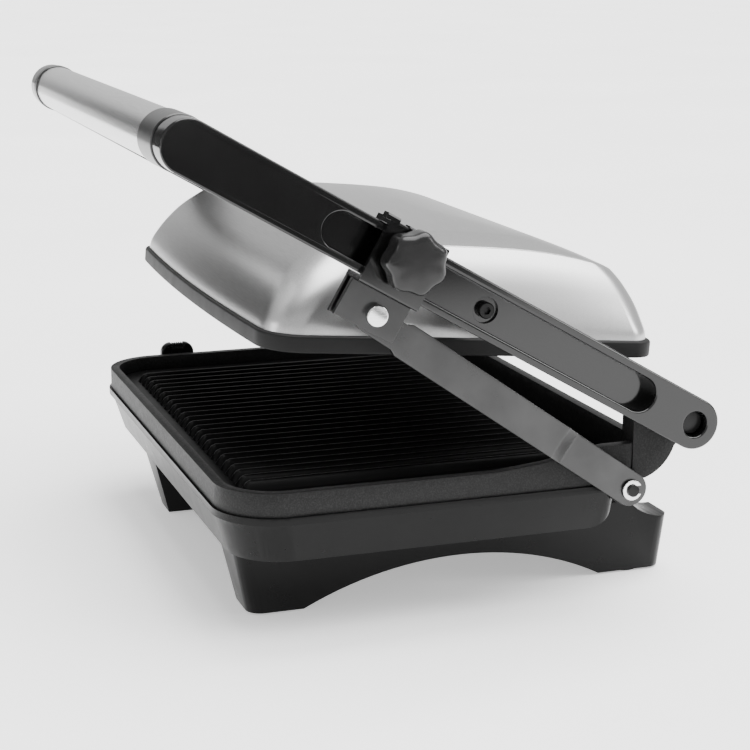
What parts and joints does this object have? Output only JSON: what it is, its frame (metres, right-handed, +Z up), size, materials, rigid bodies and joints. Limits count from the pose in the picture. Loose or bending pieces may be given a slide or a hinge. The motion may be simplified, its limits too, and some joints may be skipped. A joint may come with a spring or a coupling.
{
  "type": "panini press",
  "caption": "Countertop contact grill: ribbed plate in a cast rim, floating domed lid on swing arms with a cross grip, sliding height clamp and support link.",
  "frame": {"origin": "middle of the underside of the bounding box, at the level of the feet's undersides", "axes": "+X towards the arm that carries the clamp and knob, +Y towards the rear hinge, +Z up"},
  "size_m": [0.3621, 0.2797, 0.2514],
  "materials": {
    "cast_rim": "speckled cast texture",
    "black_shell": "satin",
    "plate": "non-stick",
    "dome_steel": "brushed",
    "lid_band": "matte",
    "arm_black": "satin",
    "grip_steel": "brushed",
    "hardware": "bright",
    "dark_hardware": "oiled",
    "clamp_steel": "brushed",
    "knob_black": "matte",
    "rubber": "matte",
    "aluminium": "plain",
    "heater": "heat-dulled",
    "insulation": "woven",
    "ceramic": "glazed"
  },
  "bodies": {
    "base": {"lower_rim": "cast_rim", "base_shell": "black_shell", "base_skirt": "black_shell", "rubber_feet": "rubber", "lower_grill_plate": "plate", "lower_heating_element": "heater", "lower_reflector": "aluminium", "bottom_cover": "black_shell", "thermostat": "ceramic", "terminal_block": "ceramic", "cover_screws": "hardware", "cord_gland": "rubber", "arm_pivot_bolt_right": "dark_hardware", "arm_pivot_bolt_left": "dark_hardware", "arm_spacer_right": "dark_hardware", "arm_spacer_left": "dark_hardware", "link_pin": "dark_hardware", "link_retaining_clip": "hardware", "latch_lugs": "black_shell", "latch_pin": "hardware"},
    "latch": {"latch_lever": "black_shell"},
    "arm_frame": {"arm_right": "arm_black", "arm_left": "arm_black", "lid_pivot_screw_right": "dark_hardware", "lid_pivot_screw_left": "dark_hardware", "grip_plug_right": "dark_hardware", "grip_plug_left": "dark_hardware", "grip_collar_right": "clamp_steel", "grip_collar_left": "clamp_steel", "grip_tube": "grip_steel"},
    "lid": {"lid_shell": "dome_steel", "lid_rim": "lid_band", "upper_grill_plate": "plate", "upper_heating_element": "heater", "upper_insulation": "insulation", "thermal_fuse": "ceramic", "lid_hinge_bracket_right": "dark_hardware", "lid_hinge_bracket_left": "dark_hardware", "bracket_screws": "hardware"},
    "clamp": {"clamp_saddle": "arm_black", "clevis_plates": "clamp_steel", "clamp_pin": "hardware", "clamp_nut": "hardware"},
    "knob": {"clamp_knob": "knob_black", "knob_stud": "hardware"},
    "link": {"support_link": "clamp_steel"}
  },
  "joints": [
    {"name": "arm_swing", "type": "hinge", "parent": "base", "child": "arm_frame", "pos_m": [-0.0095, 0.1164, 0.098], "axis": [-1, 0, 0], "range_deg": [-25.8, 30]},
    {"name": "lid_tilt", "type": "hinge", "parent": "arm_frame", "child": "lid", "pos_m": [-0.0095, 0.01127, 0.1587], "axis": [-1, 0, 0], "range_deg": [-24.5, 21]},
    {"name": "clamp_slide", "type": "slide", "parent": "arm_frame", "child": "clamp", "axis": [0, -0.866, 0.5], "range_m": [-0.0217, 0.0186]},
    {"name": "link_swing", "type": "hinge", "parent": "base", "child": "link", "pos_m": [-0.0095, 0.0909, 0.0641], "axis": [-1, 0, 0], "range_deg": [-26.5, 30.8]},
    {"name": "knob_turn", "type": "hinge", "parent": "clamp", "child": "knob", "pos_m": [-0.0095, -0.03088, 0.1865], "axis": [1, 0, 0], "range_deg": [-180, 180]},
    {"name": "latch_swing", "type": "hinge", "parent": "base", "child": "latch", "pos_m": [-0.1641, -0.0602, 0.069], "axis": [0, -1, 0], "range_deg": [0, 60]}
  ],
  "couplings": [
    {"joint": "lid_tilt", "follows": "arm_swing", "ratio": -0.806},
    {"joint": "clamp_slide", "follows": "arm_swing", "m_per_rad": -0.04092},
    {"joint": "link_swing", "follows": "arm_swing", "ratio": 1.0209}
  ]
}
